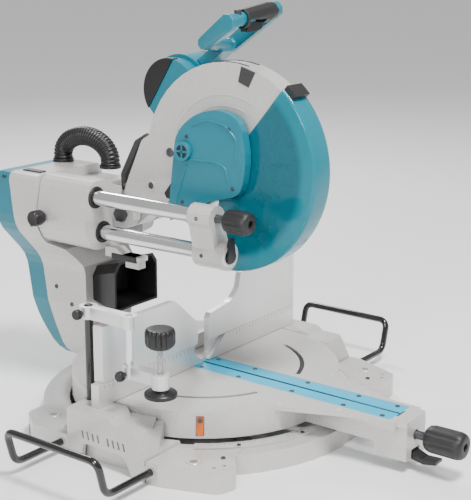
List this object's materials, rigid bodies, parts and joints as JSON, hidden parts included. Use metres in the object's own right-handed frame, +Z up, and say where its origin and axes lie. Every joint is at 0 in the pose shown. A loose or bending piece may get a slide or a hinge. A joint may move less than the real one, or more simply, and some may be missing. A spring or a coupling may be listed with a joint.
{
  "type": "sliding compound mitre saw",
  "caption": "Bench-top sliding compound mitre saw with turning table, tilting arm, twin rails, guarded blade, fences, vise and pull-out side holders.",
  "frame": {"origin": "centre of the bounding box at ground level, under the saw's feet", "axes": "+X to the operator's right along the fence, +Y away from the operator, +Z up"},
  "size_m": [0.8416, 0.9034, 0.7059],
  "materials": {
    "casting": "satin warm-white powder coat",
    "aluminium": "satin",
    "steel": "polished",
    "dark_steel": "blackened",
    "teal": "satin moulded plastic",
    "guard_teal": "translucent",
    "black": "satin black",
    "rubber": "matt",
    "dark_grey": "matt",
    "kerf_blue": "satin",
    "orange": "satin",
    "brass": "satin",
    "copper": "varnished windings",
    "black_metal": "gloss black"
  },
  "bodies": {
    "base": {"base_casting": "casting", "scale_plate": "aluminium", "pivot_bolt": "dark_steel", "fixed_fence": "aluminium", "left_fence_clamp": "black", "right_fence_clamp": "black", "left_holder_screw": "black", "right_holder_screw": "black", "vise_rod": "black_metal"},
    "left_holder": {"left_holder": "black_metal"},
    "right_holder": {"right_holder": "black_metal"},
    "left_upper_fence": {"left_upper_fence": "aluminium"},
    "right_upper_fence": {"right_upper_fence": "aluminium"},
    "vise_arm": {"vise_upper_arm": "aluminium", "vise_lower_rod": "steel", "vise_lower_arm": "aluminium"},
    "vise_screw": {"vise_screw": "black", "vise_pad": "black"},
    "turntable": {"turntable": "casting", "left_kerf_board": "kerf_blue", "right_kerf_board": "kerf_blue", "mitre_pointer": "orange"},
    "mitre_grip": {"mitre_grip": "black"},
    "mitre_lever": {"mitre_lever": "black"},
    "arm": {"arm_casting": "casting", "arm_rear_cover": "teal", "dust_hood": "black", "upper_rail": "steel", "lower_rail": "steel", "rail_end_cap": "casting", "bevel_pivot_pin": "dark_steel", "dust_hose": "black"},
    "bevel_grip": {"bevel_grip": "black"},
    "bevel_lever": {"bevel_lever": "black"},
    "carriage": {"carriage": "casting", "upper_bushing": "brass", "lower_bushing": "brass", "head_pivot_pin": "dark_steel", "return_spring": "dark_steel", "slide_stop": "casting"},
    "slide_lock_knob": {"slide_lock_knob": "black"},
    "head": {"blade_case": "casting", "carry_grip": "dark_grey", "centre_cover": "teal", "belt_cover": "teal", "drive_belt": "rubber", "motor_housing": "teal", "motor_end_cap": "black", "motor_stator": "copper", "handle": "teal", "handle_grip": "rubber", "cord_gland": "black"},
    "trigger": {"trigger": "black"},
    "lock_off_button": {"lock_off_button": "dark_grey"},
    "blade": {"blade": "steel", "spindle": "dark_steel", "blade_flange": "dark_steel"},
    "rotor": {"rotor": "steel"},
    "guard": {"lower_guard": "guard_teal", "guard_bumper": "rubber"}
  },
  "joints": [
    {"name": "mitre", "type": "hinge", "parent": "base", "child": "turntable", "pos_m": [0, 0.0535, 0.085], "axis": [0, 0, 1], "range_deg": [-60, 60]},
    {"name": "bevel", "type": "hinge", "parent": "turntable", "child": "arm", "pos_m": [0, 0.2775, 0.085], "axis": [0, 1, 0], "range_deg": [-33, 27]},
    {"name": "slide", "type": "slide", "parent": "arm", "child": "carriage", "axis": [0, -1, 0], "range_m": [0, 0.21], "deforming": ["dust_hose"]},
    {"name": "chop", "type": "hinge", "parent": "carriage", "child": "head", "pos_m": [0, 0.2035, 0.34], "axis": [1, 0, 0], "range_deg": [0, 54], "stiffness_Nm_per_rad": 15, "springref_deg": -114.59},
    {"name": "guard_swing", "type": "hinge", "parent": "head", "child": "guard", "pos_m": [0, -0.0065, 0.445], "axis": [-1, 0, 0], "range_deg": [0, 116.6]},
    {"name": "blade_spin", "type": "hinge", "parent": "head", "child": "blade", "pos_m": [0, -0.0065, 0.445], "axis": [1, 0, 0], "continuous": true},
    {"name": "rotor_spin", "type": "hinge", "parent": "head", "child": "rotor", "pos_m": [0, 0.1535, 0.552], "axis": [1, 0, 0], "continuous": true},
    {"name": "trigger_pull", "type": "slide", "parent": "head", "child": "trigger", "axis": [0, 0, 1], "range_m": [0, 0.004], "stiffness_N_per_m": 300},
    {"name": "lock_off_push", "type": "slide", "parent": "head", "child": "lock_off_button", "axis": [0, 0, -1], "range_m": [0, 0.003], "stiffness_N_per_m": 300},
    {"name": "mitre_grip_turn", "type": "hinge", "parent": "turntable", "child": "mitre_grip", "pos_m": [0, -0.4065, 0.057], "axis": [0, -1, 0], "range_deg": [-90, 90]},
    {"name": "mitre_lever_press", "type": "hinge", "parent": "turntable", "child": "mitre_lever", "pos_m": [0, -0.3465, 0.028], "axis": [1, 0, 0], "range_deg": [0, 10], "stiffness_Nm_per_rad": 2},
    {"name": "bevel_grip_turn", "type": "hinge", "parent": "arm", "child": "bevel_grip", "pos_m": [-0.092, -0.0665, 0.375], "axis": [0, -1, 0], "range_deg": [-90, 90]},
    {"name": "bevel_lever_turn", "type": "hinge", "parent": "arm", "child": "bevel_lever", "pos_m": [-0.076, -0.0555, 0.311], "axis": [0, -1, 0], "range_deg": [-8, 8]},
    {"name": "slide_lock_turn", "type": "hinge", "parent": "carriage", "child": "slide_lock_knob", "pos_m": [-0.13, 0.3215, 0.333], "axis": [-1, 0, 0], "range_deg": [-90, 90]},
    {"name": "left_holder_slide", "type": "slide", "parent": "base", "child": "left_holder", "axis": [1, 0, 0], "range_m": [0, 0.08]},
    {"name": "right_holder_slide", "type": "slide", "parent": "base", "child": "right_holder", "axis": [-1, 0, 0], "range_m": [0, 0.08]},
    {"name": "left_fence_slide", "type": "slide", "parent": "base", "child": "left_upper_fence", "axis": [-1, 0, 0], "range_m": [0, 0.06]},
    {"name": "right_fence_slide", "type": "slide", "parent": "base", "child": "right_upper_fence", "axis": [1, 0, 0], "range_m": [0, 0.06]},
    {"name": "vise_arm_swing", "type": "hinge", "parent": "base", "child": "vise_arm", "pos_m": [-0.248, 0.0955, 0.185], "axis": [0, 0, 1], "range_deg": [-25, 25]},
    {"name": "vise_screw_down", "type": "slide", "parent": "vise_arm", "child": "vise_screw", "axis": [0, 0, -1], "range_m": [0, 0.036]}
  ],
  "couplings": [
    {"joint": "guard_swing", "follows": "chop", "ratio": 2.157},
    {"joint": "rotor_spin", "follows": "blade_spin", "ratio": 1.4}
  ]
}
